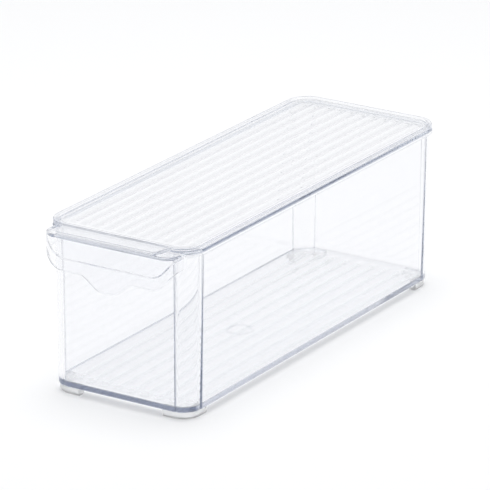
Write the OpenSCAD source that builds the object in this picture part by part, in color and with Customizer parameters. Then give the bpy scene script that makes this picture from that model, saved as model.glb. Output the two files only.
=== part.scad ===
// Clear stackable storage bin with a front finger grip, a ribbed lift-off lid and four soft corner feet.
// Millimetres. +Z is up, the grip faces -Y, and the origin is on the floor under the middle of the outline.

/* [Bin] */
// Width over the rim
bin_w = 114.6; // [90:0.2:220]
// Length over the rim, without the grip
bin_l = 320.8; // [200:0.2:420]
// Height from the underside of the base to the top of the rim
bin_h = 110.7; // [70:0.1:200]
// Plan radius of the rim's corners
rim_r = 17.3; // [14:0.1:24]
// Thickness of the rim flange
rim_t = 1.7; // [1.6:0.1:2.4]
// How far the rim stands out from the wall
rim_over = 2.0; // [1.6:0.1:4]
// Height of the bevel round the rim's top
rim_bevel = 1.5; // [0.5:0.1:1.5]
// Depth of the rim's turned-down lip below the top of the rim
rim_lip = 3.5; // [2.6:0.1:5]
// Thickness of the turned-down lip
rim_lip_t = 0.9; // [0.7:0.1:1.2]
// Wall thickness
wall_t = 2.1; // [1.6:0.1:3]
// Floor thickness
floor_t = 3.0; // [2:0.1:5]
// Draft of the walls, in degrees from vertical
draft = 0.5; // [0.3:0.1:1.5]
// Bevel round the bottom of the base
base_bevel = 0.7; // [0.3:0.1:1.2]
// Bevel where the floor meets the inside of the walls
floor_bevel = 1.6; // [0.5:0.1:3]

/* [Corner grooves] */
// Depth of the grooves down the side walls, beside the corners
side_groove_d = 1.6; // [0.5:0.1:1.6]
// Depth of the grooves down the end walls, beside the corners
end_groove_d = 1.0; // [0.5:0.1:1.6]
// Width of a groove at the wall's surface
groove_w = 2.8; // [1:0.1:4]

/* [Floor detail] */
// Number of raised ribs along the floor
floor_ribs = 9; // [5:2:15]
// Distance between floor ribs
floor_rib_pitch = 10.7; // [8:0.1:14]
// Width of a floor rib
floor_rib_w = 4.4; // [3:0.1:6]
// Height of a floor rib
floor_rib_h = 0.5; // [0.4:0.1:1.5]
// Length of a floor rib
floor_rib_l = 295; // [150:1:300]
// Outer diameter of the moulding ring under the floor
gate_d = 19; // [10:1:30]
// How far the moulding ring lies in front of the middle of the bin
gate_forward = 12; // [0:1:40]
// Depth of the moulding ring
gate_depth = 0.4; // [0.2:0.1:1]

/* [Grip] */
// Width of the grip
grip_w = 100; // [70:1:110]
// How far the grip reaches in front of the rim
grip_reach = 12.1; // [9:0.1:20]
// Plan radius of the grip's front corners
grip_r = 9; // [5:0.5:12]
// Thickness of the grip's skirt above the step
skirt_t = 3.0; // [2.4:0.1:4]
// Thickness of the skirt's finger edge, below the step
skirt_edge_t = 2.0; // [1.5:0.1:2.4]
// Depth of the skirt below the top of the rim
skirt_drop = 24.0; // [18:0.1:30]
// Depth of the step inside the skirt below the top of the rim
step_drop = 15.3; // [10:0.1:17]
// Extra depth of the tongue in the middle of the skirt
tongue_drop = 9.1; // [4:0.1:12]
// Thickness of the grip's lip
plate_t = 2.8; // [2.4:0.1:3.5]

/* [Lid] */
// Thickness of the lid's edge and of its front tab
lid_edge_t = 2.9; // [2.5:0.1:4]
// Thickness of the lid's panel
lid_panel_t = 1.8; // [1.5:0.1:2.4]
// Gap all round between the lid and the bin's rim
lid_gap = 0.3; // [0.2:0.05:0.5]
// Width of the raised bead round the lid
bead_w = 3.4; // [2.5:0.1:5]
// Number of flutes under the lid's panel
flutes = 11; // [5:2:15]
// Distance between flutes
flute_pitch = 9.1; // [7:0.1:12]
// Depth of a flute
flute_depth = 0.2; // [0.1:0.05:1]
// Height of the locating ring under the lid
ring_h = 4; // [2.5:0.1:6]
// Thickness of the locating ring
ring_t = 1.8; // [1.4:0.1:2.5]
// Clearance between the locating ring and the inside of the bin
ring_clear = 0.7; // [0.4:0.1:1.5]
// Width of the tab where it leaves the lid
tab_root_w = 83; // [40:1:90]
// Width of the tab at its tip
tab_tip_w = 76; // [30:1:84]
// How far the tab reaches in front of the lid
tab_reach = 14.3; // [13:0.1:22]

/* [Feet] */
// Height of a foot
foot_h = 5; // [3:0.5:8]
// Width of the foot's curved band
foot_w = 6; // [4:0.5:8]
// How far a foot lies inside the edge of the base
foot_inset = 1.0; // [0.5:0.1:2]
// Length of a foot's straight legs beyond its curve
foot_leg = 7.5; // [4:0.5:15]

/* [Hidden] */
$fn = 96;
over = 1;                                 // overrun of cutting shapes

rim_top = foot_h + bin_h;
rim_under = rim_top - rim_t;
floor_top = foot_h + floor_t;
corner_x = bin_w / 2 - rim_r;             // all plan corners share these centres
corner_y = bin_l / 2 - rim_r;
wall_top_r = rim_r - rim_over;            // plan radius of the wall just under the rim
function micron(v) = round(1000 * v) / 1000;    // whole microns keep the flat and the round walls flush
function wall_r(z) = micron(wall_top_r - (rim_under - z) * tan(draft));

lid_under = rim_top + lid_gap;
panel_top = lid_under + lid_panel_t;
lid_top = lid_under + lid_edge_t;
lid_r = rim_r - lid_gap;
lid_front = -corner_y - lid_r;
ring_r = wall_r(rim_top - ring_h) - wall_t - ring_clear;
side_groove_front = corner_y - 0.2;       // the steep sides of the grooves, from the middle of the bin
side_groove_back = corner_y + 0.2;
end_groove_x = corner_x + 2.85;
groove_top = rim_top - rim_lip - 0.2;
tab_tip = lid_front - tab_reach;
tab_tip_r = 2.5;
tab_root_y = -corner_y;                   // the tab's sides start inside the lid

rim_front = -bin_l / 2;
grip_front = rim_front - grip_reach;
grip_root_y = -corner_y - wall_top_r / 2;
lip_z = rim_top - skirt_drop;             // lower edge of the skirt
step_z = rim_top - step_drop;             // step inside the skirt
plate_under = rim_top - plate_t;
lip_rise = 12.2;                          // how much higher the lower edge ends at the grip's sides
lip_flat = 35;                            // half the width over which the lower edge is level
step_flat = 33;                           // the same for the step
tongue_flat = 4;
tongue_half = 21;
outline_step = 2.5;

foot_r = wall_r(foot_h) - foot_inset;
mid_y = -(tab_tip + bin_l / 2) / 2;       // moves the middle of the whole outline to the origin

// A flat slab with rounded corners of radius r about the shared corner centres.
module slab(r, z0, z1) {
    translate([0, 0, z0]) linear_extrude(z1 - z0) outline(r);
}

module outline(r) {
    square([2 * (corner_x + r), 2 * corner_y], center = true);
    square([2 * corner_x, 2 * (corner_y + r)], center = true);
    for (x = [-corner_x, corner_x], y = [-corner_y, corner_y])
        translate([x, y]) circle(r);
}

// The same, but with a radius that grows from r0 at z0 to r1 at z1.
module tapered_slab(r0, r1, z0, z1) {
    for (x = [-corner_x, corner_x], y = [-corner_y, corner_y])
        translate([x, y, z0]) cylinder(h = z1 - z0, r1 = r0, r2 = r1);
    rotate([90, 0, 0]) linear_extrude(2 * corner_y, center = true)
        trapezium(corner_x + r0, corner_x + r1, z0, z1);
    rotate([90, 0, 90]) linear_extrude(2 * corner_x, center = true)
        trapezium(corner_y + r0, corner_y + r1, z0, z1);
}

module trapezium(half0, half1, z0, z1) {
    polygon([[-half0, z0], [half0, z0], [half1, z1], [-half1, z1]]);
}

module walls_outside() {
    tapered_slab(wall_r(foot_h) - base_bevel, wall_r(foot_h + base_bevel), foot_h, foot_h + base_bevel);
    tapered_slab(wall_r(foot_h + base_bevel), wall_r(rim_under), foot_h + base_bevel, rim_under);
    slab(rim_r, rim_under, rim_top - rim_bevel);
    tapered_slab(rim_r, rim_r - 0.8 * rim_bevel, rim_top - rim_bevel, rim_top);
    difference() {
        slab(rim_r, rim_top - rim_lip, rim_under);
        slab(rim_r - rim_lip_t, rim_top - rim_lip - over, rim_under + over);
    }
}

// A groove up the wall whose foot is at the origin, facing +X: steep towards +Y, a slope towards -Y.
module groove(depth) {
    rotate([0, draft, 0]) translate([0, 0, -over]) linear_extrude(groove_top - foot_h + over)
        polygon([[over, 0], [-depth, 0], [over, -groove_w * (1 + over / depth)]]);
}

module corner_grooves() {
    side = corner_x + wall_r(foot_h);
    end = corner_y + wall_r(foot_h);
    for (left = [0, 1]) mirror([left, 0, 0]) {
        for (y = [-side_groove_front, side_groove_back])
            translate([side, y, foot_h]) groove(side_groove_d);
        for (back = [0, 1]) mirror([0, back, 0])
            translate([end_groove_x, -end, foot_h]) rotate([0, 0, -90]) mirror([0, 1, 0]) groove(end_groove_d);
    }
}

module cavity() {
    bevel_top = floor_top + floor_bevel;
    tapered_slab(wall_r(floor_top) - wall_t - floor_bevel, wall_r(bevel_top) - wall_t, floor_top, bevel_top);
    tapered_slab(wall_r(bevel_top) - wall_t, wall_r(rim_top + over) - wall_t, bevel_top, rim_top + over);
}

// Plan of the grip, inset by t on its front and sides.
module grip_plan(t) {
    half = grip_w / 2 - t;
    front = grip_front + t;
    r = grip_r - t;
    translate([-half, front + r]) square([2 * half, grip_root_y - front - r]);
    translate([r - half, front]) square([2 * (half - r), grip_root_y - front]);
    for (side = [-1, 1])
        translate([side * (half - r), front + r]) circle(r);
}

module grip_slab(t, z0, z1) {
    translate([0, 0, z0]) linear_extrude(z1 - z0) grip_plan(t);
}

// Rise of an edge that is level to the given half width and then curves up to the grip's side.
function beyond(x, from, to) = min(1, max(0, (abs(x) - from) / (to - from)));
function side_rise(x, level, rise) = rise * (1 - cos(90 * beyond(x, level, grip_w / 2)));
function tongue(x) = tongue_drop / 2 * (1 + cos(180 * beyond(x, tongue_flat, tongue_half)));
function lip_edge(x) = lip_z + side_rise(x, lip_flat, lip_rise) - tongue(x);
function step_edge(x) = step_z + side_rise(x, step_flat, plate_under - step_z);

// Front view of everything above the skirt's lower edge, run through from front to back.
module above_lip() {
    half = grip_w / 2;
    edge = [for (x = [-half : outline_step : half]) [x, lip_edge(x)]];
    translate([0, grip_root_y, 0]) rotate([90, 0, 0]) linear_extrude(grip_root_y - grip_front + over)
        polygon(concat([[half, rim_top], [-half, rim_top]], edge));
}

// The same for the thinner part of the skirt, below the step.
module below_step() {
    half = grip_w / 2 - skirt_edge_t;
    edge = [for (x = [-half : half / 20 : half]) [x, step_edge(x)]];
    bottom = lip_z - tongue_drop - over;
    translate([0, grip_root_y, 0]) rotate([90, 0, 0]) linear_extrude(grip_root_y - grip_front - skirt_edge_t)
        polygon(concat([[half, bottom], [-half, bottom]], edge));
}

module grip() {
    intersection() {
        difference() {
            grip_slab(0, lip_z - tongue_drop - over, rim_top);
            grip_slab(skirt_t, lip_z - tongue_drop - 2 * over, plate_under);
            intersection() {
                grip_slab(skirt_edge_t, lip_z - tongue_drop - 2 * over, plate_under);
                below_step();
            }
        }
        above_lip();
    }
}

// A raised rib: a long round bar with ball ends, sunk into the floor.
module floor_rib(x) {
    r = (pow(floor_rib_w / 2, 2) + pow(floor_rib_h, 2)) / (2 * floor_rib_h);
    half = (floor_rib_l - floor_rib_w) / 2;
    translate([x, 0, floor_top + floor_rib_h - r]) {
        rotate([90, 0, 0]) cylinder(h = 2 * half, r = r, center = true);
        for (y = [-half, half]) translate([0, y, 0]) sphere(r);
    }
}

module floor_pattern() {
    intersection() {
        for (i = [0 : floor_ribs - 1])
            floor_rib((i - (floor_ribs - 1) / 2) * floor_rib_pitch);
        slab(wall_r(floor_top) - wall_t, floor_top - floor_t / 2, floor_top + floor_rib_h);
    }
}

module moulding_ring() {
    translate([0, -gate_forward, foot_h - over]) difference() {
        cylinder(h = gate_depth + over, d = gate_d);
        translate([0, 0, -over]) cylinder(h = gate_depth + 3 * over, d = gate_d - 3);
    }
}

module bin_body() color([0.93, 0.95, 0.97, 0.35]) translate([0, mid_y, 0]) {
    difference() {
        union() {
            difference() {
                walls_outside();
                corner_grooves();
            }
            grip();
        }
        cavity();
        moulding_ring();
    }
    floor_pattern();
}

module tab() {
    translate([0, 0, lid_under]) linear_extrude(lid_edge_t) {
        polygon([
            [-tab_root_w / 2, tab_root_y], [tab_root_w / 2, tab_root_y], [tab_root_w / 2, lid_front],
            [tab_tip_w / 2, tab_tip + tab_tip_r], [tab_tip_w / 2 - tab_tip_r, tab_tip],
            [tab_tip_r - tab_tip_w / 2, tab_tip], [-tab_tip_w / 2, tab_tip + tab_tip_r],
            [-tab_root_w / 2, lid_front]
        ]);
        for (side = [-1, 1])
            translate([side * (tab_tip_w / 2 - tab_tip_r), tab_tip + tab_tip_r]) circle(tab_tip_r);
    }
}

// A shallow groove with a round bottom, cut up into the underside of the panel.
module flute(x) {
    r = (pow(0.4 * flute_pitch, 2) + pow(flute_depth, 2)) / (2 * flute_depth);
    half = corner_y + ring_r - ring_t - 0.4 * flute_pitch;
    translate([x, 0, lid_under + flute_depth - r])
        rotate([90, 0, 0]) cylinder(h = 2 * half, r = r, center = true);
}

module lid() color([0.92, 0.94, 0.97, 0.35]) translate([0, mid_y, 0]) {
    difference() {
        union() {
            slab(lid_r, lid_under, lid_top);
            tab();
        }
        slab(lid_r - bead_w, panel_top, lid_top + over);
        intersection() {
            for (i = [0 : flutes - 1])
                flute((i - (flutes - 1) / 2) * flute_pitch);
            slab(ring_r - ring_t, lid_under - over, panel_top);
        }
    }
    difference() {
        slab(ring_r, rim_top - ring_h, lid_under + lid_panel_t / 2);
        slab(ring_r - ring_t, rim_top - ring_h - over, lid_under + lid_panel_t);
    }
}

// A soft pad that follows one corner of the base; side and end are -1 or 1.
module foot(side, end) color([0.96, 0.97, 0.98, 0.7]) translate([0, mid_y, 0])
    linear_extrude(foot_h) intersection() {
        difference() {
            outline(foot_r);
            outline(foot_r - foot_w);
        }
        translate([side * (corner_x - foot_leg + bin_w / 2), end * (corner_y - foot_leg + bin_l / 2)])
            square([bin_w, bin_l], center = true);
    }

module foot_front_left() foot(-1, -1);
module foot_front_right() foot(1, -1);
module foot_back_left() foot(-1, 1);
module foot_back_right() foot(1, 1);

bin_body();
lid();
foot_front_left();
foot_front_right();
foot_back_left();
foot_back_right();
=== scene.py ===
"""Looks of the clear stackable storage bin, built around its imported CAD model.
Sizes below are in millimetres about the bin's middle; the grip faces -Y."""
import math

import bpy
import bmesh
from mathutils import Matrix, Vector


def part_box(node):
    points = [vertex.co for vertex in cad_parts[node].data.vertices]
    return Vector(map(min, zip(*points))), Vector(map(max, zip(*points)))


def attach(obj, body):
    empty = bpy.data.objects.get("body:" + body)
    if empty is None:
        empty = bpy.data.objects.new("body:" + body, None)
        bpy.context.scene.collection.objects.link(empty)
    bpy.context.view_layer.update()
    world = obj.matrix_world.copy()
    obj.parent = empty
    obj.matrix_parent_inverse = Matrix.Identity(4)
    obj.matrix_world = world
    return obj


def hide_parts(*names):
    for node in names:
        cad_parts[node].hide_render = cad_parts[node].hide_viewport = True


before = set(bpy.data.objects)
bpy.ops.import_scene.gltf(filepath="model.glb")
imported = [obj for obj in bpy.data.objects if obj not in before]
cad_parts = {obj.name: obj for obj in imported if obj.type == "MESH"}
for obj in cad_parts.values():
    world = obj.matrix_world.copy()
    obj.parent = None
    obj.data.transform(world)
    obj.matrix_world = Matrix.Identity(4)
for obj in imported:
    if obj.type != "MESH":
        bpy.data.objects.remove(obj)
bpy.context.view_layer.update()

MM = 0.001

# ---------------------------------------------------------------- sizes
BIN_LOW, BIN_HIGH = (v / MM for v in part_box("bin_body"))
LID_LOW, LID_HIGH = (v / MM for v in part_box("lid"))
FOOT_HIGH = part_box("foot_front_right")[1] / MM

RIM_R = 17.3                        # plan radius of the rim's corners
RIM_T = 1.7                         # thickness of the rim
RIM_OVER = 2.0                      # how far it stands out from the wall
RIM_BEVEL = 1.5                     # height of the bevel round the rim's top
RIM_LIP = 3.5                       # depth of the rim's turned-down lip below its top
RIM_LIP_T = 0.9
RIM_LENGTH = 320.8
WALL_T = 2.1
FLOOR_T = 3.0
DRAFT = math.tan(math.radians(0.5))
BASE_Z = BIN_LOW.z
RIM_TOP = BIN_HIGH.z
RIM_UNDER = RIM_TOP - RIM_T
FLOOR_TOP = BASE_Z + FLOOR_T
CORNER_X = BIN_HIGH.x - RIM_R       # every plan corner is round about these centres
MID_Y = BIN_HIGH.y - RIM_LENGTH / 2     # middle of the bin, without its grip
CORNER_Y = RIM_LENGTH / 2 - RIM_R

GRIP_HALF = 50.0
GRIP_FRONT = BIN_LOW.y - MID_Y
GRIP_R = 9.0
GRIP_TOP = RIM_TOP - 0.05
SKIRT_T, SKIRT_EDGE_T = 3.0, 2.0
LIP_Z = RIM_TOP - 24.0              # lower edge of the skirt
STEP_Z = RIM_TOP - 15.3             # step inside the skirt
PLATE_UNDER = RIM_TOP - 2.8         # underside of the grip's lip
ROOT_R = 14.0                       # plan radius, inside the wall, at which the grip starts

LID_UNDER = RIM_TOP + 0.3
LID_TOP = LID_HIGH.z
PANEL_TOP = LID_UNDER + 1.8
LID_R = LID_HIGH.x - CORNER_X
BEAD_W = 3.4
RING_Z = LID_LOW.z
RING_T = 1.8
RING_CLEAR = 0.7                    # between the ring and the inside of the bin
TAB_TIP = LID_LOW.y - MID_Y
TAB_ROOT_HALF, TAB_TIP_HALF = 41.5, 38.0

GROOVE_D = 1.6                      # depth of the grooves where the flat walls meet the corners
GROOVE_TOP = RIM_TOP - 3.7
GROOVE_END = 0.6                    # height over which a groove fades out
# (distance towards the corner, share of the depth) across a groove, by where it is
GROOVES = {
    "front of side": ((-0.5, 0), (-0.2, 1), (-0.05, 0.97), (2.8, 0)),
    "back of side": ((-2.8, 0), (0.05, 0.97), (0.2, 1), (0.5, 0)),
    "end": ((2.55, 0), (2.85, 0.65), (3.0, 0.62), (4.6, 0)),
}
RIBS, RIB_PITCH, RIB_H = 9, 10.7, 0.5           # along the floor
FLUTES, FLUTE_PITCH, FLUTE_H = 11, 9.1, 0.2     # under the lid
WAVE_GAP = 0.02                     # between neighbouring ribs or flutes
GATE_R, GATE_W, GATE_D, GATE_FORWARD = 9.5, 1.5, 0.4, 12.0      # moulding ring under the floor

FOOT_W, FOOT_LEG = 6.0, 7.5         # width of a foot's band, and its length beyond the curve

CORNER_STEPS = 20                   # mesh steps round a quarter turn
WELD = 0.001                        # points nearer than this are one


def wall_r(z):
    """Plan radius of the wall's outside at height z."""
    return RIM_R - RIM_OVER - (RIM_UNDER - z) * DRAFT


# ---------------------------------------------------------------- mesh helpers
def groove_points(where, r, depth):
    """(turn, radius, distance before the turn) across a groove at the start of a round corner."""
    return [(max(along, 0) / r, r - depth * share, min(along, 0)) for along, share in GROOVES[where]]


def ring(r, z, depth=0.0):
    """Points of a rectangle with round corners of radius r, anticlockwise from +X.
    A groove of the given depth runs past both ends of each round corner."""
    points = []
    for corner, (sx, sy) in enumerate([(1, 1), (-1, 1), (-1, -1), (1, -1)]):
        side = "back of side" if sy > 0 else "front of side"
        ends = (side, "end") if corner % 2 == 0 else ("end", side)
        first = groove_points(ends[0], r, depth)
        last = [
            (math.pi / 2 - turn, reach, -back)
            for turn, reach, back in reversed(groove_points(ends[1], r, depth))
        ]
        start, stop = first[-1][0], last[0][0]
        arc = [start + (stop - start) * i / CORNER_STEPS for i in range(1, CORNER_STEPS)]
        for turn, reach, along in first + [(turn, r, 0) for turn in arc] + last:
            a = math.radians(90 * corner) + min(max(turn, 0), math.pi / 2)
            x = sx * CORNER_X + reach * math.cos(a) - along * math.sin(a)
            y = sy * CORNER_Y + reach * math.sin(a) + along * math.cos(a)
            points.append((x, y, z))
    return points


def rounded(profile, steps=5):
    """A profile of (u, v, corner radius) points as (u, v) points, each corner a smooth arc."""
    out = []
    for i, (u, v, radius) in enumerate(profile):
        here = Vector((u, v))
        if radius == 0 or i in (0, len(profile) - 1):
            out.append(here)
            continue
        before = Vector(profile[i - 1][:2]) - here
        after = Vector(profile[i + 1][:2]) - here
        half = before.angle(after) / 2
        back = min(radius / math.tan(half), 0.49 * before.length, 0.49 * after.length)
        radius = back * math.tan(half)
        before.normalize()
        after.normalize()
        middle = here + (before + after).normalized() * radius / math.sin(half)
        start = here + before * back - middle
        turn = start.angle_signed(here + after * back - middle)
        for k in range(steps + 1):
            spoke = start.copy()
            spoke.rotate(Matrix.Rotation(-turn * k / steps, 2))
            out.append(middle + spoke)
    return out


def add_loops(bm, loops, closed=True):
    """Adds the loops of points to bm with quads from each to the next. Returns the vertices by loop."""
    rows = [[bm.verts.new(p) for p in loop] for loop in loops]
    for a, b in zip(rows, rows[1:]):
        count = len(a) if closed else len(a) - 1
        for i in range(count):
            j = (i + 1) % len(a)
            bm.faces.new((a[i], a[j], b[j], b[i]))
    return rows


def finish_mesh(bm, name):
    """Turns bm, in millimetres about the bin's middle, into an object in metres in the row frame."""
    bmesh.ops.remove_doubles(bm, verts=bm.verts, dist=WELD)
    bmesh.ops.recalc_face_normals(bm, faces=bm.faces)
    to_frame = Matrix.Scale(MM, 4) @ Matrix.Translation((0, MID_Y, 0))
    bmesh.ops.transform(bm, matrix=to_frame, verts=bm.verts)
    mesh = bpy.data.meshes.new(name)
    bm.to_mesh(mesh)
    bm.free()
    piece = bpy.data.objects.new(name, mesh)
    bpy.context.scene.collection.objects.link(piece)
    return piece


def sweep(name, profile, low_features=(), high_features=(), groove=None):
    """A solid whose section is the profile of (radius, z) points, swept round the bin's plan.
    Its two flat ends are closed round the features given as lists of loops, the widest loop first.
    The groove, if any, gives the corner grooves' depth at (radius, z)."""
    bm = bmesh.new()
    depth = groove or (lambda r, z: 0.0)
    add_loops(bm, [ring(r, z, depth(r, z)) for r, z in profile])
    for loops in (*low_features, *high_features):
        bm.faces.new(add_loops(bm, loops)[-1])
    bmesh.ops.remove_doubles(bm, verts=bm.verts, dist=WELD)
    for z in (profile[0][1], profile[-1][1]):
        close_flat(bm, z)
    return finish_mesh(bm, name)


def close_flat(bm, z):
    """Fills the flat area at height z between the mesh's open edges."""
    edges = [e for e in bm.edges if e.is_boundary and all(abs(v.co.z - z) < WELD for v in e.verts)]
    bmesh.ops.triangle_fill(bm, edges=edges, use_beauty=True, normal=(0, 0, 1))


def combine(piece, others, operation):
    """Joins the others to the piece, or cuts them from it, and removes them."""
    for other in others:
        modifier = piece.modifiers.new("combine", "BOOLEAN")
        modifier.operation, modifier.solver, modifier.object = operation, "EXACT", other
    apply_modifiers(piece)
    for other in others:
        bpy.data.objects.remove(other)


def apply_modifiers(piece):
    graph = bpy.context.evaluated_depsgraph_get()
    mesh = bpy.data.meshes.new_from_object(piece.evaluated_get(graph))
    piece.modifiers.clear()
    piece.data = mesh


def smooth(piece, angle=32):
    """Smooth shading that keeps flat faces flat and edges sharper than the angle sharp."""
    piece.data.shade_smooth()
    piece.data.set_sharp_from_angle(angle=math.radians(angle))
    modifier = piece.modifiers.new("even_normals", "WEIGHTED_NORMAL")
    modifier.keep_sharp = True
    modifier.weight = 100
    apply_modifiers(piece)


# ---------------------------------------------------------------- waves along the floor and the lid
def wave(x, half_length, pitch, height, base_z, levels=10):
    """Loops of a long smooth swelling with round ends along Y, from its edge at base_z to its crest."""
    width = pitch - WAVE_GAP
    loops = []
    for i in range(levels):
        share = 1 - i / levels
        z = base_z + height / 2 * (1 + math.cos(math.pi * share))
        loops.append(bar_outline(x, half_length, width / 2 * share, z))
    return loops


def bar_outline(x, half_length, r, z, steps=12):
    points = []
    for end in (1, -1):
        for i in range(steps + 1):
            a = math.radians(180 * i / steps + (0 if end > 0 else 180))
            points.append((x + r * math.cos(a), end * half_length + r * math.sin(a), z))
    return points


def circle(r, steps=48):
    turns = [2 * math.pi * i / steps for i in range(steps)]
    return [(r * math.cos(a), r * math.sin(a)) for a in turns]


# ---------------------------------------------------------------- bin
def make_shell():
    inner_top = wall_r(RIM_TOP) - WALL_T
    inner_floor = wall_r(FLOOR_TOP) - WALL_T
    profile = rounded([
        (wall_r(BASE_Z) - 6, BASE_Z, 0),
        (wall_r(BASE_Z), BASE_Z, 0.9),
        (wall_r(GROOVE_TOP), GROOVE_TOP, 0),
        (wall_r(GROOVE_TOP + GROOVE_END), GROOVE_TOP + GROOVE_END, 0),
        (wall_r(RIM_UNDER), RIM_UNDER, 0.4),
        (RIM_R - RIM_LIP_T, RIM_UNDER, 0.2),
        (RIM_R - RIM_LIP_T, RIM_TOP - RIM_LIP, 0.3),
        (RIM_R, RIM_TOP - RIM_LIP, 0.3),
        (RIM_R, RIM_TOP - RIM_BEVEL, 0.3),
        (RIM_R - RIM_BEVEL * 0.8, RIM_TOP, 0.3),
        (inner_top, RIM_TOP, 0.5),
        (inner_floor, FLOOR_TOP, 1.8),
        (inner_floor - 2.2, FLOOR_TOP, 0),
    ])[1:-1]

    def groove(r, z):
        return GROOVE_D if z <= GROOVE_TOP and r > wall_r(z) - 1.5 else 0.0

    last = RIBS // 2
    ribs = []
    for i in range(-last, last + 1):
        half_length = CORNER_Y - (3.9 if abs(i) == last else 0.9)
        ribs.append(wave(RIB_PITCH * i, half_length, RIB_PITCH, RIB_H, FLOOR_TOP))
    slope = 0.15
    gate_section = ((0, 0), (slope, GATE_D), (GATE_W - slope, GATE_D), (GATE_W, 0))
    gate = [
        [(x, y - GATE_FORWARD, BASE_Z + depth) for x, y in circle(GATE_R - inside)]
        for inside, depth in gate_section
    ]
    return sweep("bin_body_clear", profile, low_features=[gate], high_features=ribs, groove=groove)


def beyond(x, start, end):
    """How far x lies between start and end, from 0 to 1, on either side of the middle."""
    return min(1.0, max(0.0, (abs(x) - start) / (end - start)))


def side_rise(x, level, rise):
    """Rise of an edge that is level to that half width and then curves up to the grip's side."""
    return rise * (1 - math.cos(math.radians(90 * beyond(x, level, GRIP_HALF))))


def lip_edge(x):
    """Height of the skirt's lower edge, which has a tongue in the middle."""
    tongue = 9.1 / 2 * (1 + math.cos(math.radians(180 * beyond(x, 4, 21))))
    return LIP_Z + side_rise(x, 35, 12.2) - tongue


def step_edge(x):
    """Height of the step inside the skirt, which ends just below the lip at the sides."""
    return STEP_Z + side_rise(x, 33, PLATE_UNDER - STEP_Z - 0.6)


def root_y(x):
    """Where the grip starts at x, half way through the wall."""
    inside = max(0.0, abs(x) - CORNER_X)
    return -CORNER_Y - math.sqrt(ROOT_R ** 2 - inside ** 2)


def grip_path():
    """(x, y, outward x, outward y) along the grip's outline, from its left root to its right one."""
    centre_x, centre_y = GRIP_HALF - GRIP_R, GRIP_FRONT + GRIP_R
    start = root_y(GRIP_HALF)
    right = [(GRIP_HALF, start + (centre_y - start) * i / 6, 1, 0) for i in range(6)]
    for i in range(CORNER_STEPS):
        a = math.radians(90 * i / CORNER_STEPS)
        nx, ny = math.cos(a), -math.sin(a)
        right.append((centre_x + GRIP_R * nx, centre_y + GRIP_R * ny, nx, ny))
    count = 40
    right += [(centre_x * (1 - i / count), GRIP_FRONT, 0, -1) for i in range(count)]
    left = [(-x, y, -nx, ny) for x, y, nx, ny in right]
    return left + [(0, GRIP_FRONT, 0, -1)] + right[::-1]


def grip_column(x, y, nx, ny, at_root):
    """The skirt's section: from its inside top down, round its lower edge and up to its outside top."""
    low, step = lip_edge(x), step_edge(x)
    profile = rounded([
        (SKIRT_T, PLATE_UNDER, 0),
        (SKIRT_T, step, 0.4),
        (SKIRT_EDGE_T, step - 1.0, 0.4),
        (SKIRT_EDGE_T, low, 0.8),
        (0, low, 0.8),
        (0, GRIP_TOP, 0.8),
        (1.6, GRIP_TOP, 0),
    ], 4)
    if at_root:
        side = math.copysign(1, x)
        return [(side * (GRIP_HALF - t), root_y(GRIP_HALF - t), z) for t, z in profile]
    return [(x - nx * t, y - ny * t, z) for t, z in profile]


def make_grip():
    bm = bmesh.new()
    path = grip_path()
    last = len(path) - 1
    columns = add_loops(
        bm, [grip_column(*p, at_root=i in (0, last)) for i, p in enumerate(path)], closed=False
    )
    inner_half, count = GRIP_HALF - SKIRT_T, 60
    spots = [inner_half - 2 * inner_half * i / count for i in range(count + 1)]
    back_top = [bm.verts.new((x, root_y(x), GRIP_TOP)) for x in spots]
    back_low = [columns[-1][0]]
    back_low += [bm.verts.new((x, root_y(x), PLATE_UNDER)) for x in spots[1:-1]]
    back_low += [columns[0][0]]
    for i in range(count):
        bm.faces.new((back_top[i], back_top[i + 1], back_low[i + 1], back_low[i]))
    bm.faces.new([c[-1] for c in columns] + back_top)
    bm.faces.new([c[0] for c in columns] + back_low[1:-1])
    bm.faces.new(columns[0] + [back_top[-1]])
    bm.faces.new(columns[-1] + [back_top[0]])
    return finish_mesh(bm, "grip")


def make_bin():
    shell = make_shell()
    combine(shell, [make_grip()], "UNION")
    smooth(shell)
    return shell


# ---------------------------------------------------------------- lid
def make_lid():
    ring_r = wall_r(RING_Z) - WALL_T - RING_CLEAR
    bead_in = LID_R - BEAD_W
    profile = rounded([
        (ring_r - RING_T - 0.6, LID_UNDER, 0),
        (ring_r - RING_T, LID_UNDER, 0.5),
        (ring_r - RING_T, RING_Z, 0.5),
        (ring_r, RING_Z, 0.5),
        (ring_r, LID_UNDER, 0.3),
        (LID_R, LID_UNDER, 0.6),
        (LID_R, LID_TOP, 0.9),
        (bead_in, LID_TOP, 0.8),
        (bead_in - 0.3, PANEL_TOP, 0.4),
        (bead_in - 4, PANEL_TOP, 0),
    ])
    last = FLUTES // 2
    flutes = []
    for i in range(-last, last + 1):
        half_length = CORNER_Y + (1.2 if abs(i) == last else 3.2)
        flutes.append(wave(FLUTE_PITCH * i, half_length, FLUTE_PITCH, FLUTE_H, LID_UNDER))
    lid = sweep("lid_clear", profile, low_features=flutes)
    combine(lid, [make_tab()], "UNION")
    smooth(lid)
    return lid


def tab_outline(inset):
    """Plan of the tab, from its right root round its tip to its left root, inset by so much."""
    lid_front, tip_r = -CORNER_Y - LID_R, 2.5
    root, tip = TAB_ROOT_HALF - inset, TAB_TIP_HALF - inset
    corners = [
        (root, lid_front + 1.5, 0),
        (root, lid_front, 0.5),
        (tip, TAB_TIP + inset, tip_r - inset),
        (-tip, TAB_TIP + inset, tip_r - inset),
        (-root, lid_front, 0.5),
        (-root, lid_front + 1.5, 0),
    ]
    return rounded(corners, 8)


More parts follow.
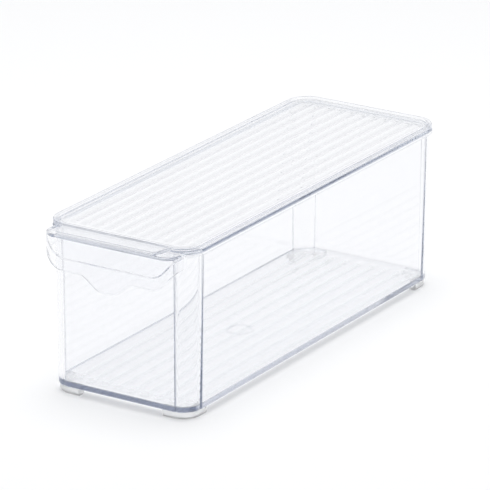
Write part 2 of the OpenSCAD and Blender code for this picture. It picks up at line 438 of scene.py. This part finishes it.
def make_tab():
    low, high = LID_UNDER + 0.05, LID_TOP - 0.05
    edge = rounded([(0.7, low, 0), (0, low, 0.5), (0, high, 0.8), (1.0, high, 0)], 4)
    bm = bmesh.new()
    rows = add_loops(bm, [[(x, y, z) for x, y in tab_outline(inset)] for inset, z in edge])
    bm.faces.new(rows[0])
    bm.faces.new(rows[-1])
    return finish_mesh(bm, "tab")


# ---------------------------------------------------------------- feet
def make_foot(name, side, end):
    """A soft pad that follows one corner of the base, with rounded edges."""
    outer, top = FOOT_HIGH.x - CORNER_X, FOOT_HIGH.z - 0.05
    bm = bmesh.new()
    path = [(-FOOT_LEG + FOOT_LEG * i / 4, 0, 0) for i in range(4)]
    path += [(0, 0, math.radians(90 * i / 12)) for i in range(13)]
    path += [(0, -FOOT_LEG * i / 4, math.radians(90)) for i in range(1, 5)]
    section = rounded([
        (FOOT_W / 2, 0, 0),
        (FOOT_W, 0, 1.0),
        (FOOT_W, top, 0.3),
        (0, top, 0.3),
        (0, 0, 1.0),
        (FOOT_W / 2, 0, 0),
    ], 3)[:-1]
    loops = []
    for dx, dy, a in path:
        nx, ny = math.sin(a), math.cos(a)
        loops.append([
            (side * (CORNER_X + dx + (outer - t) * nx), end * (CORNER_Y + dy + (outer - t) * ny), z)
            for t, z in section
        ])
    rows = add_loops(bm, loops)
    bm.faces.new(rows[0])
    bm.faces.new(rows[-1])
    foot = finish_mesh(bm, name)
    smooth(foot)
    return foot


# ---------------------------------------------------------------- materials
def new_material(name):
    material = bpy.data.materials.new(name)
    material.use_nodes = True
    nodes = material.node_tree.nodes
    nodes.clear()
    return material, nodes, material.node_tree.links


CLEAR = (0.978, 0.98, 0.988)
SHADE = (0.97, 0.86)                # share of the lamp's light let through, square on and edge on
BASE_SHADE = 0.45                   # the same factor for the bin's thick bottom edge
BASE_EDGE, END_EDGE = 8.0, 5.0      # where it starts beyond the corner centres, at side and end
GROOVE_PAINTED_SHADE = (0.55, 0.57, 0.62)      # painted shade on the grooves' narrow steep faces, right side and front end only
RIM_BEVEL_PAINTED_SHADE = (0.72, 0.76, 0.83)       # painted shade along the rim's bevel
CREST_PAINTED_HIGHLIGHT = (0.994, 0.996, 1.0)         # painted highlight on the crests of the lid's flutes and the floor's ribs
FLUTE_PAINTED_SHADE = (0.88, 0.885, 0.895)   # painted shade on the lid between its flutes
RIB_PAINTED_SHADE = (0.945, 0.95, 0.96)      # painted shade on the floor between its ribs


def math_node(nodes, links, operation, *values):
    """A Math node on sockets or numbers. Returns its output."""
    node = nodes.new("ShaderNodeMath")
    node.operation = operation
    for socket, value in zip(node.inputs, values):
        if isinstance(value, (int, float)):
            socket.default_value = value
        else:
            links.new(value, socket)
    return node.outputs["Value"]


def blend_colour(nodes, links, mask, colour, other):
    """The colour, a triple or a socket, replaced by the other triple where the mask is 1."""
    mix = nodes.new("ShaderNodeMix")
    mix.data_type = "RGBA"
    factor, first, second = mix.inputs[0], mix.inputs[6], mix.inputs[7]
    links.new(mask, factor)
    if isinstance(colour, tuple):
        first.default_value = (*colour, 1)
    else:
        links.new(colour, first)
    second.default_value = (*other, 1)
    return mix.outputs[2]


def bin_masks(nodes, links, coords):
    """Sockets that are 1 on the bin's bottom edge, its grooves' steep faces and its rim's bevel.
    The first two hold only on the right side and the front end, away from the lamp; the last two mark
    where shade is painted."""
    def step(operation, *values):
        return math_node(nodes, links, operation, *values)

    split = nodes.new("ShaderNodeSeparateXYZ")
    links.new(coords.outputs["Object"], split.inputs["Vector"])
    x = step("ABSOLUTE", split.outputs["X"])
    y = step("ABSOLUTE", step("SUBTRACT", split.outputs["Y"], MID_Y * MM))
    z = split.outputs["Z"]
    at_side = step("GREATER_THAN", split.outputs["X"], (CORNER_X + BASE_EDGE) * MM)
    at_end = step("LESS_THAN", split.outputs["Y"], (MID_Y - CORNER_Y - END_EDGE) * MM)
    outside = step("MAXIMUM", at_side, at_end)
    bottom = step("MULTIPLY", outside, step("LESS_THAN", z, (FLOOR_TOP + 6) * MM))
    side_groove_shade = step("MULTIPLY", at_side, step("COMPARE", y, CORNER_Y * MM, 0.55 * MM))
    end_groove_shade = step("MULTIPLY", at_end, step("COMPARE", x, (CORNER_X + 2.75) * MM, 0.25 * MM))
    grooves = step("MAXIMUM", side_groove_shade, end_groove_shade)
    groove = step("MULTIPLY", grooves, step("LESS_THAN", z, GROOVE_TOP * MM))
    bevel = step("COMPARE", z, (RIM_TOP - RIM_BEVEL / 2 - 0.05) * MM, RIM_BEVEL / 2 * MM)
    behind_grip = step("LESS_THAN", y, (CORNER_Y + RIM_R - 1.0) * MM)
    return bottom, step("MULTIPLY", groove, behind_grip), step("MULTIPLY", bevel, behind_grip)


def painted_band_colour(nodes, links, coords, pitch, count, top, tint):
    """The clear colour, with painted light and shade in bands along a plate whose top is at the given
    height:
    a painted highlight on the crest of each lengthwise flute or rib, and the given tint, painted shade,
    between them."""
    def step(operation, *values):
        return math_node(nodes, links, operation, *values)

    split = nodes.new("ShaderNodeSeparateXYZ")
    links.new(coords.outputs["Object"], split.inputs["Vector"])
    x, y, z = (split.outputs[axis] for axis in "XYZ")
    across = step("COMPARE", x, 0.0, count / 2 * pitch * MM)
    along = step("COMPARE", y, MID_Y * MM, (CORNER_Y + 8) * MM)
    plate = step("MULTIPLY", step("MULTIPLY", across, along), step("LESS_THAN", z, top * MM))
    turn = step("MULTIPLY", x, 2 * math.pi / (pitch * MM))
    between = step("MULTIPLY_ADD", step("COSINE", turn), -0.5, 0.5)
    crests = blend_colour(nodes, links, plate, CLEAR, CREST_PAINTED_HIGHLIGHT)
    return blend_colour(nodes, links, step("MULTIPLY", plate, between), crests, tint)


def clear_plastic(name, absorb, density, is_bin):
    """Clear polished plastic: slight waviness, faint scuffs, a tint that deepens with depth, and
    painted highlight and shade bands along the ribs or flutes; the bin also gets painted shade on its
    grooves and rim bevel.
    """
    material, nodes, links = new_material(name)
    shader = nodes.new("ShaderNodeBsdfPrincipled")
    shader.inputs["Base Color"].default_value = (*CLEAR, 1)
    shader.inputs["Transmission Weight"].default_value = 1.0
    shader.inputs["IOR"].default_value = 1.5
    coords = nodes.new("ShaderNodeTexCoord")
    scuffs = nodes.new("ShaderNodeTexNoise")
    scuffs.inputs["Scale"].default_value = 90
    scuffs.inputs["Detail"].default_value = 6
    levels = nodes.new("ShaderNodeMapRange")
    levels.inputs["From Min"].default_value = 0.45
    levels.inputs["From Max"].default_value = 0.8
    levels.inputs["To Min"].default_value = 0.0
    levels.inputs["To Max"].default_value = 0.02
    waves = nodes.new("ShaderNodeTexNoise")
    waves.inputs["Scale"].default_value = 28
    waves.inputs["Detail"].default_value = 1
    bump = nodes.new("ShaderNodeBump")
    bump.inputs["Strength"].default_value = 0.05
    bump.inputs["Distance"].default_value = 0.0004
    links.new(coords.outputs["Object"], scuffs.inputs["Vector"])
    links.new(coords.outputs["Object"], waves.inputs["Vector"])
    links.new(scuffs.outputs["Fac"], levels.inputs["Value"])
    links.new(levels.outputs["Result"], shader.inputs["Roughness"])
    links.new(waves.outputs["Fac"], bump.inputs["Height"])
    links.new(bump.outputs["Normal"], shader.inputs["Normal"])
    slant = nodes.new("ShaderNodeLayerWeight")
    slant.inputs["Blend"].default_value = 0.5
    passed = nodes.new("ShaderNodeMapRange")
    passed.inputs["From Min"].default_value = 0.1
    passed.inputs["From Max"].default_value = 0.9
    passed.inputs["To Min"].default_value = SHADE[0]
    passed.inputs["To Max"].default_value = SHADE[1]
    links.new(slant.outputs["Facing"], passed.inputs["Value"])
    passing = passed.outputs["Result"]
    if is_bin:
        bottom, groove, bevel = bin_masks(nodes, links, coords)
        dimmed = math_node(nodes, links, "MULTIPLY", bottom, 1 - BASE_SHADE)
        left_over = math_node(nodes, links, "SUBTRACT", 1.0, dimmed)
        passing = math_node(nodes, links, "MULTIPLY", passing, left_over)
        # painted highlight and shade bands along the floor's ribs
        colour = painted_band_colour(nodes, links, coords, RIB_PITCH, RIBS, FLOOR_TOP + RIB_H + 0.1, RIB_PAINTED_SHADE)
        # painted shade: the grooves' steep faces darkened
        colour = blend_colour(nodes, links, groove, colour, GROOVE_PAINTED_SHADE)
        # painted shade: the rim's bevel darkened, except along the grip
        links.new(blend_colour(nodes, links, bevel, colour, RIM_BEVEL_PAINTED_SHADE), shader.inputs["Base Color"])
    else:
        # painted highlight and shade bands along the lid's flutes
        colour = painted_band_colour(nodes, links, coords, FLUTE_PITCH, FLUTES, LID_TOP + 1, FLUTE_PAINTED_SHADE)
        links.new(colour, shader.inputs["Base Color"])
    output = nodes.new("ShaderNodeOutputMaterial")
    links.new(pass_shadow_rays(nodes, links, shader, passing), output.inputs["Surface"])
    tint = nodes.new("ShaderNodeVolumeAbsorption")
    tint.inputs["Color"].default_value = (*absorb, 1)
    tint.inputs["Density"].default_value = density
    links.new(tint.outputs["Volume"], output.inputs["Volume"])
    return material


def pass_shadow_rays(nodes, links, shader, passing):
    """The shader, but letting through that share of the lamp's light, so that shadows stay pale."""
    shade = nodes.new("ShaderNodeBsdfTransparent")
    if isinstance(passing, tuple):
        shade.inputs["Color"].default_value = passing
    else:
        links.new(passing, shade.inputs["Color"])
    path = nodes.new("ShaderNodeLightPath")
    mix = nodes.new("ShaderNodeMixShader")
    links.new(path.outputs["Is Shadow Ray"], mix.inputs["Fac"])
    links.new(shader.outputs["BSDF"], mix.inputs[1])
    links.new(shade.outputs["BSDF"], mix.inputs[2])
    return mix.outputs["Shader"]


def soft_plastic(name):
    """Pale, slightly see-through soft plastic with a fine grain."""
    material, nodes, links = new_material(name)
    shader = nodes.new("ShaderNodeBsdfPrincipled")
    shader.inputs["Transmission Weight"].default_value = 0.6
    shader.inputs["Roughness"].default_value = 0.25
    shader.inputs["IOR"].default_value = 1.3
    coords = nodes.new("ShaderNodeTexCoord")
    grain = nodes.new("ShaderNodeTexNoise")
    grain.inputs["Scale"].default_value = 900
    grain.inputs["Detail"].default_value = 4
    ramp = nodes.new("ShaderNodeValToRGB")
    ramp.color_ramp.elements[0].color = (0.97, 0.973, 0.98, 1)
    ramp.color_ramp.elements[1].color = (0.99, 0.992, 0.995, 1)
    bump = nodes.new("ShaderNodeBump")
    bump.inputs["Strength"].default_value = 0.3
    bump.inputs["Distance"].default_value = 0.0001
    links.new(coords.outputs["Object"], grain.inputs["Vector"])
    links.new(grain.outputs["Fac"], ramp.inputs["Fac"])
    links.new(ramp.outputs["Color"], shader.inputs["Base Color"])
    links.new(grain.outputs["Fac"], bump.inputs["Height"])
    links.new(bump.outputs["Normal"], shader.inputs["Normal"])
    output = nodes.new("ShaderNodeOutputMaterial")
    links.new(pass_shadow_rays(nodes, links, shader, (0.9, 0.9, 0.9, 1)), output.inputs["Surface"])
    return material


# ---------------------------------------------------------------- the object
DEPTH_TINT = (0.27, 0.34, 0.51)
bin_plastic = clear_plastic("clear_bin_plastic", DEPTH_TINT, 3.4, is_bin=True)
lid_plastic = clear_plastic("clear_lid_plastic", DEPTH_TINT, 1.7, is_bin=False)
foot_plastic = soft_plastic("soft_foot_plastic")


def place(piece, body, node, material):
    """Gives the piece its material and puts it in the CAD node's stead on the body."""
    piece.data.materials.clear()
    piece.data.materials.append(material)
    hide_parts(node)
    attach(piece, body)


place(make_bin(), "bin", "bin_body", bin_plastic)
place(make_lid(), "lid", "lid", lid_plastic)
for end_name, end in (("front", -1), ("back", 1)):
    for side_name, side in (("left", -1), ("right", 1)):
        node = f"foot_{end_name}_{side_name}"
        place(make_foot(f"{node}_soft", side, end), "bin", node, foot_plastic)


# ---------------------------------------------------------------- floor, light and camera
def make_floor():
    bm = bmesh.new()
    bmesh.ops.create_grid(bm, x_segments=1, y_segments=1, size=6)
    mesh = bpy.data.meshes.new("floor")
    bm.to_mesh(mesh)
    bm.free()
    floor = bpy.data.objects.new("floor", mesh)
    bpy.context.scene.collection.objects.link(floor)
    material, nodes, links = new_material("floor_white")
    shader = nodes.new("ShaderNodeBsdfPrincipled")
    shader.inputs["Base Color"].default_value = (0.9, 0.9, 0.9, 1)
    shader.inputs["Roughness"].default_value = 0.8
    output = nodes.new("ShaderNodeOutputMaterial")
    links.new(shader.outputs["BSDF"], output.inputs["Surface"])
    mesh.materials.append(material)


TENT_SIDES = (0.95, 0.955, 0.965)     # light from the white walls all round
TENT_ROOF = (0.46, 0.465, 0.475)      # and from the roof
LAMP_AT = Vector((-0.1, 0.2, 2.3))
LAMP_SIZE = 1.0
LAMP_POWER = 27


def make_light():
    """A pale studio tent all round, and one soft lamp high above the bin."""
    world = bpy.data.worlds.new("studio")
    bpy.context.scene.world = world
    world.use_nodes = True
    world.cycles.sampling_method = "NONE"
    nodes, links = world.node_tree.nodes, world.node_tree.links
    coords = nodes.new("ShaderNodeTexCoord")
    split = nodes.new("ShaderNodeSeparateXYZ")
    rise = nodes.new("ShaderNodeMapRange")
    rise.interpolation_type = "SMOOTHSTEP"
    rise.inputs["From Min"].default_value = 0.5
    rise.inputs["From Max"].default_value = 0.8
    tone = nodes.new("ShaderNodeMix")
    tone.data_type = "RGBA"
    tone.inputs[6].default_value = (*TENT_SIDES, 1)
    tone.inputs[7].default_value = (*TENT_ROOF, 1)
    links.new(coords.outputs["Generated"], split.inputs["Vector"])
    links.new(split.outputs["Z"], rise.inputs["Value"])
    links.new(rise.outputs["Result"], tone.inputs[0])
    links.new(tone.outputs[2], nodes["Background"].inputs["Color"])
    data = bpy.data.lights.new("softbox", "AREA")
    data.shape, data.size, data.energy = "DISK", LAMP_SIZE, LAMP_POWER
    data.cycles.use_multiple_importance_sampling = False
    lamp = bpy.data.objects.new("softbox", data)
    bpy.context.scene.collection.objects.link(lamp)
    lamp.visible_glossy = lamp.visible_transmission = False
    towards_bin = LAMP_AT.to_track_quat("Z", "Y").to_matrix().to_4x4()
    lamp.matrix_world = Matrix.Translation(LAMP_AT) @ towards_bin


AZIMUTH, ELEVATION, ROLL = (math.radians(angle) for angle in (31.915, 19.666, 0.277))
DISTANCE = 2.971
AIM = Vector((-11.7, 21.8, 57.5)) * MM
LENS = 321.9


def make_camera():
    forward = Vector((
        -math.sin(AZIMUTH) * math.cos(ELEVATION),
        math.cos(AZIMUTH) * math.cos(ELEVATION),
        -math.sin(ELEVATION),
    ))
    right = Vector((math.cos(AZIMUTH), math.sin(AZIMUTH), 0))
    up = right.cross(forward)
    right, up = (
        right * math.cos(ROLL) + up * math.sin(ROLL),
        up * math.cos(ROLL) - right * math.sin(ROLL),
    )
    data = bpy.data.cameras.new("camera")
    data.sensor_width = 36
    data.lens = LENS
    data.clip_end = 50
    camera = bpy.data.objects.new("camera", data)
    bpy.context.scene.collection.objects.link(camera)
    turn = Matrix((right, up, -forward)).transposed().to_4x4()
    camera.matrix_world = Matrix.Translation(AIM - forward * DISTANCE) @ turn
    bpy.context.scene.camera = camera


make_floor()
make_light()
make_camera()
scene = bpy.context.scene
scene.view_settings.view_transform = "Standard"
# the plastic's dark edge lines come from light guided a long way inside it
scene.cycles.blur_glossy = 0
scene.cycles.sample_clamp_indirect = 0
scene.cycles.max_bounces = 200
scene.cycles.diffuse_bounces = 8
scene.cycles.glossy_bounces = 200
scene.cycles.transmission_bounces = 200
scene.cycles.transparent_max_bounces = 64
